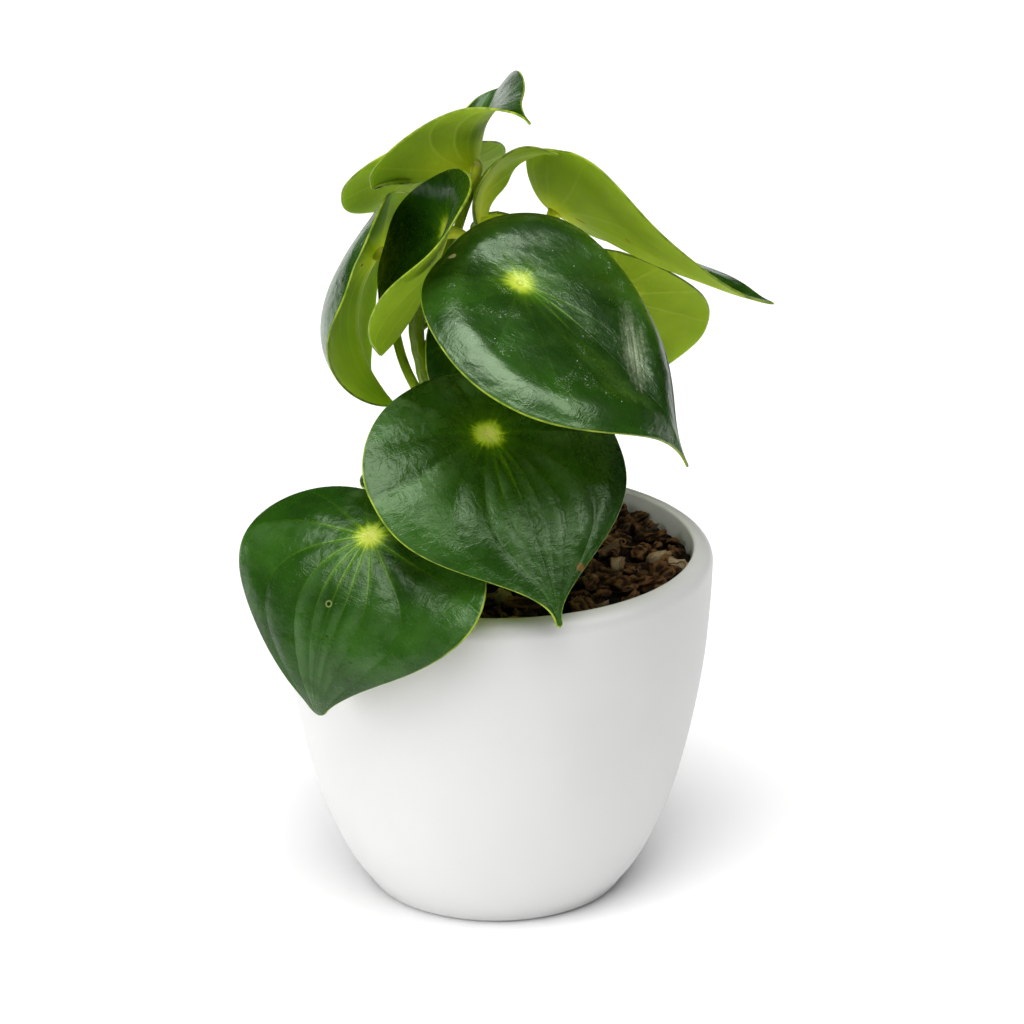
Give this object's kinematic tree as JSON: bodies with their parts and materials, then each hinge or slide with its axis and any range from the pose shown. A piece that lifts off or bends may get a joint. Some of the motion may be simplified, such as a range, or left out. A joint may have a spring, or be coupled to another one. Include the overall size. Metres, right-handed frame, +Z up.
{
  "type": "potted plant",
  "caption": "Potted peperomia with thick glossy teardrop leaves, each on its own round stalk, in a plain glazed round pot filled with bark mix.",
  "frame": {"origin": "centre of the pot's flat foot, on the surface it stands on", "axes": "+Z up along the pot's axis; -Y faces the front, the side the picture was taken from; +X to the right seen from the front"},
  "size_m": [0.1567, 0.1661, 0.2508],
  "materials": {
    "pot": "satin white glaze",
    "soil": "loose dark bark mix",
    "stem": "smooth green plant stem",
    "stalk": "smooth light green leaf stalk",
    "blade": "thick glossy leaf, dark green above and light green below"
  },
  "bodies": {
    "root": {"pot": "pot", "soil": "soil", "stem": "stem", "blade_top": "blade", "stalk_top": "stalk", "blade_back_high": "blade", "stalk_back_high": "stalk", "blade_left_dark": "blade", "stalk_left_dark": "stalk", "blade_left_far": "blade", "stalk_left_far": "stalk", "blade_inner_curl": "blade", "stalk_inner_curl": "stalk", "blade_right_high": "blade", "stalk_right_high": "stalk", "blade_right_low": "blade", "stalk_right_low": "stalk", "blade_young": "blade", "stalk_young": "stalk", "blade_front_high": "blade", "stalk_front_high": "stalk", "blade_front_middle": "blade", "stalk_front_middle": "stalk", "blade_front_low": "blade", "stalk_front_low": "stalk", "blade_inner_hanging": "blade", "stalk_inner_hanging": "stalk", "blade_back_middle": "blade", "stalk_back_middle": "stalk", "blade_back_low": "blade", "stalk_back_low": "stalk", "blade_back_left": "blade", "stalk_back_left": "stalk"}
  },
  "joints": []
}
